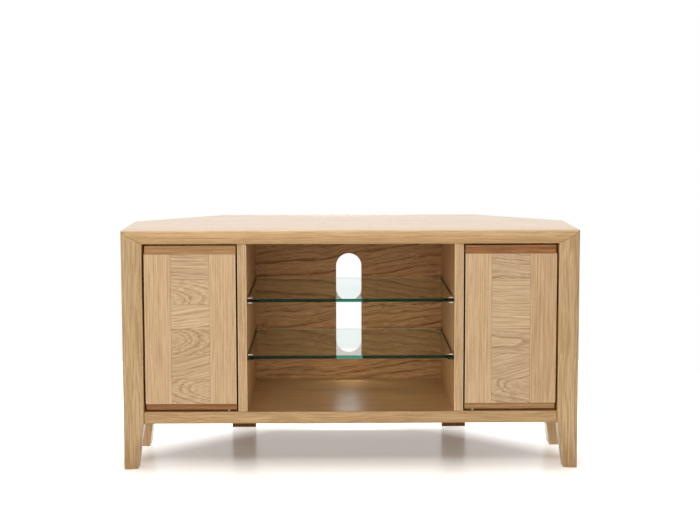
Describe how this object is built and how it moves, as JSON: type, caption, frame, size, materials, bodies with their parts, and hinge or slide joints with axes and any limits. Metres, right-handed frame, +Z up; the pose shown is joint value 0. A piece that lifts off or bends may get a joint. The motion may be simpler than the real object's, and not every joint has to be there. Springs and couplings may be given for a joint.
{
  "type": "corner tv cabinet",
  "caption": "Low oak corner television cabinet with a cut-off back, two inset cupboard doors and an open bay with glass shelves.",
  "frame": {"origin": "middle of the footprint's bounding box, on the floor", "axes": "+X to the right as seen from the front, +Y backwards into the room's corner, +Z up"},
  "size_m": [1.1, 0.495, 0.58],
  "materials": {
    "oak_top": "satin lacquer",
    "oak_frame": "satin lacquer",
    "oak_board": "satin lacquer",
    "oak_door": "satin lacquer",
    "oak_inside": "satin lacquer",
    "glass": "clear with polished green edges",
    "satin_nickel": "satin",
    "dark_bronze": "dark bronze, satin",
    "bright_steel": "bright plate"
  },
  "bodies": {
    "carcass": {"top_panel": "oak_top", "top_front_rail": "oak_frame", "base_panel": "oak_board", "back_panel": "oak_inside", "left_front_post": "oak_frame", "left_side_post": "oak_frame", "left_side_panel": "oak_board", "left_angled_panel": "oak_board", "left_divider": "oak_board", "left_rear_leg": "oak_inside", "left_upper_hinge_frame_leaf": "dark_bronze", "left_upper_hinge_pin": "dark_bronze", "left_lower_hinge_frame_leaf": "dark_bronze", "left_lower_hinge_pin": "dark_bronze", "left_catch_strike": "bright_steel", "right_front_post": "oak_frame", "right_side_post": "oak_frame", "right_side_panel": "oak_board", "right_angled_panel": "oak_board", "right_divider": "oak_board", "right_rear_leg": "oak_inside", "right_upper_hinge_frame_leaf": "dark_bronze", "right_upper_hinge_pin": "dark_bronze", "right_lower_hinge_frame_leaf": "dark_bronze", "right_lower_hinge_pin": "dark_bronze", "right_catch_strike": "bright_steel", "upper_glass_shelf": "glass", "upper_left_front_clip": "satin_nickel", "upper_left_rear_clip": "satin_nickel", "upper_right_front_clip": "satin_nickel", "upper_right_rear_clip": "satin_nickel", "lower_glass_shelf": "glass", "lower_left_front_clip": "satin_nickel", "lower_left_rear_clip": "satin_nickel", "lower_right_front_clip": "satin_nickel", "lower_right_rear_clip": "satin_nickel"},
    "left_door": {"left_door_core": "oak_board", "left_door_outer_stile": "oak_door", "left_door_inner_stile": "oak_door", "left_door_block_1": "oak_door", "left_door_block_2": "oak_door", "left_door_block_3": "oak_door", "left_door_block_4": "oak_door", "left_door_block_5": "oak_door", "left_door_block_6": "oak_door", "left_upper_hinge_door_leaf": "dark_bronze", "left_lower_hinge_door_leaf": "dark_bronze", "left_door_magnet": "bright_steel"},
    "right_door": {"right_door_core": "oak_board", "right_door_outer_stile": "oak_door", "right_door_inner_stile": "oak_door", "right_door_block_1": "oak_door", "right_door_block_2": "oak_door", "right_door_block_3": "oak_door", "right_door_block_4": "oak_door", "right_door_block_5": "oak_door", "right_door_block_6": "oak_door", "right_upper_hinge_door_leaf": "dark_bronze", "right_lower_hinge_door_leaf": "dark_bronze", "right_door_magnet": "bright_steel"}
  },
  "joints": [
    {"name": "left_door_hinge", "type": "hinge", "parent": "carcass", "child": "left_door", "pos_m": [-0.5, -0.2295, 0.341], "axis": [0, 0, -1], "range_deg": [0, 95]},
    {"name": "right_door_hinge", "type": "hinge", "parent": "carcass", "child": "right_door", "pos_m": [0.5, -0.2295, 0.341], "axis": [0, 0, 1], "range_deg": [0, 95]}
  ]
}
